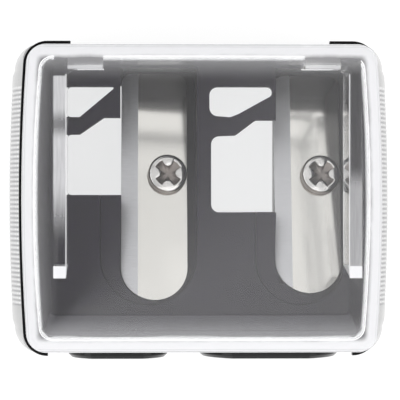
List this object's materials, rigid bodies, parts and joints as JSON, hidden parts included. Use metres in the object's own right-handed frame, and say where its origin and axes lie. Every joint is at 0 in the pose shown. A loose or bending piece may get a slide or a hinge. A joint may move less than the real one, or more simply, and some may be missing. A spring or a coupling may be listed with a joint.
{
  "type": "pencil sharpener",
  "caption": "flat cosmetic pencil sharpener with a narrow and a wide pencil mouth, a screwed-down blade over each cone, knurled side grips and a clear lift-off shavings cover",
  "frame": {"origin": "middle of the underside: the sharpener lies on its back, and the origin is below the centre of its bounding box, on the surface it rests on", "axes": "+X runs across from the narrow pencil mouth's side to the wide one's, -Y leaves through the two pencil mouths, +Z leaves through the clear cover"},
  "size_m": [0.0466, 0.038, 0.0264],
  "materials": {
    "black_plastic": "satin moulded black",
    "guide_plastic": "fine matt moulded black",
    "ring_plastic": "glossy moulded black",
    "clear_plastic": "water-clear polished polystyrene",
    "silver_plate": "bright metallised plastic with a diamond knurl",
    "blade_steel": "polished face, ground bevel",
    "screw_steel": "nickel-plated, cross recess"
  },
  "bodies": {
    "body": {"housing": "black_plastic", "back_plate": "black_plastic", "left_grip": "silver_plate", "right_grip": "silver_plate", "small_guide": "guide_plastic", "large_guide": "guide_plastic", "small_mouth_ring": "ring_plastic", "large_mouth_ring": "ring_plastic", "small_blade": "blade_steel", "large_blade": "blade_steel", "small_blade_screw": "screw_steel", "large_blade_screw": "screw_steel"},
    "cover": {"clear_cover": "clear_plastic"}
  },
  "joints": [
    {"name": "cover_lift", "type": "slide", "parent": "body", "child": "cover", "axis": [0, 0, 1], "range_m": [0, 0.012]}
  ]
}
